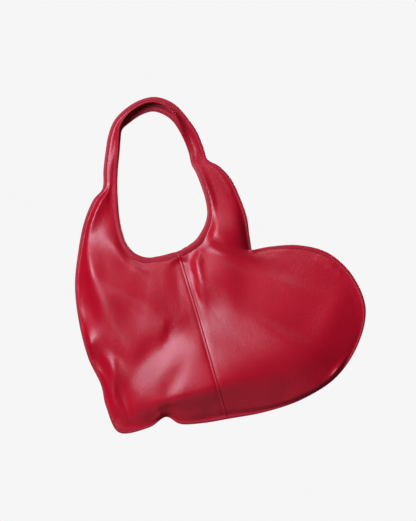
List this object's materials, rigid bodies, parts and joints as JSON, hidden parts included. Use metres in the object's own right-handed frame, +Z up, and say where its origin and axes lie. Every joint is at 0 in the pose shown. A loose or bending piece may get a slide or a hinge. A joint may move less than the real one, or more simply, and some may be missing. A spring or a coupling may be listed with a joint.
{
  "type": "heart shaped purse",
  "caption": "Heart shaped leather shoulder purse with a bound rim, a round mouth in one lobe, a strap cut in one with it, a magnetic snap and an inner zip pocket.",
  "frame": {"origin": "underside of the strap at its highest point, where a shoulder carries it", "axes": "+Z up; the front faces -Y; +X towards the free lobe of the heart"},
  "size_m": [0.378, 0.073, 0.4362],
  "materials": {
    "red_leather": "smooth fine grained satin crimson leather",
    "lining_cloth": "fine twill lining cloth in dark red",
    "woven_tape": "narrow woven tape in dark red",
    "nickel": "polished nickel plate",
    "magnet": "dull grey sintered magnet"
  },
  "bodies": {
    "strap": {"strap_front_layer": "red_leather", "strap_back_layer": "red_leather", "strap_edge_binding": "red_leather", "strap_core_tape": "woven_tape"},
    "bag": {"root_folds": "red_leather", "front_left_panel": "red_leather", "front_right_panel": "red_leather", "back_left_panel": "red_leather", "back_right_panel": "red_leather", "front_seam_welt": "red_leather", "back_seam_welt": "red_leather", "edge_binding": "red_leather", "front_mouth_binding": "red_leather", "back_mouth_binding": "red_leather", "front_facing": "red_leather", "back_facing": "red_leather", "front_lining": "lining_cloth", "back_lining": "lining_cloth", "snap_socket": "nickel", "snap_magnet": "magnet", "snap_stud": "nickel", "socket_washer": "nickel", "stud_washer": "nickel", "pocket_bag": "lining_cloth", "pocket_frame": "red_leather", "zip_tapes": "woven_tape", "zip_teeth": "nickel", "zip_stops": "nickel"},
    "zip_slider": {"zip_slider": "nickel"},
    "zip_pull": {"zip_pull": "nickel"}
  },
  "joints": [
    {"name": "strap_fold", "type": "hinge", "parent": "strap", "child": "bag", "pos_m": [-0.06426, 0, -0.09987], "axis": [0.9642, 0, 0.2652], "range_deg": [-115, 115]},
    {"name": "zip_run", "type": "slide", "parent": "bag", "child": "zip_slider", "axis": [-1, 0, 0], "range_m": [0, 0.1104]},
    {"name": "pull_swing", "type": "hinge", "parent": "zip_slider", "child": "zip_pull", "pos_m": [0.08355, 0.00785, -0.25969], "axis": [1, 0, 0], "range_deg": [-120, 0]}
  ]
}
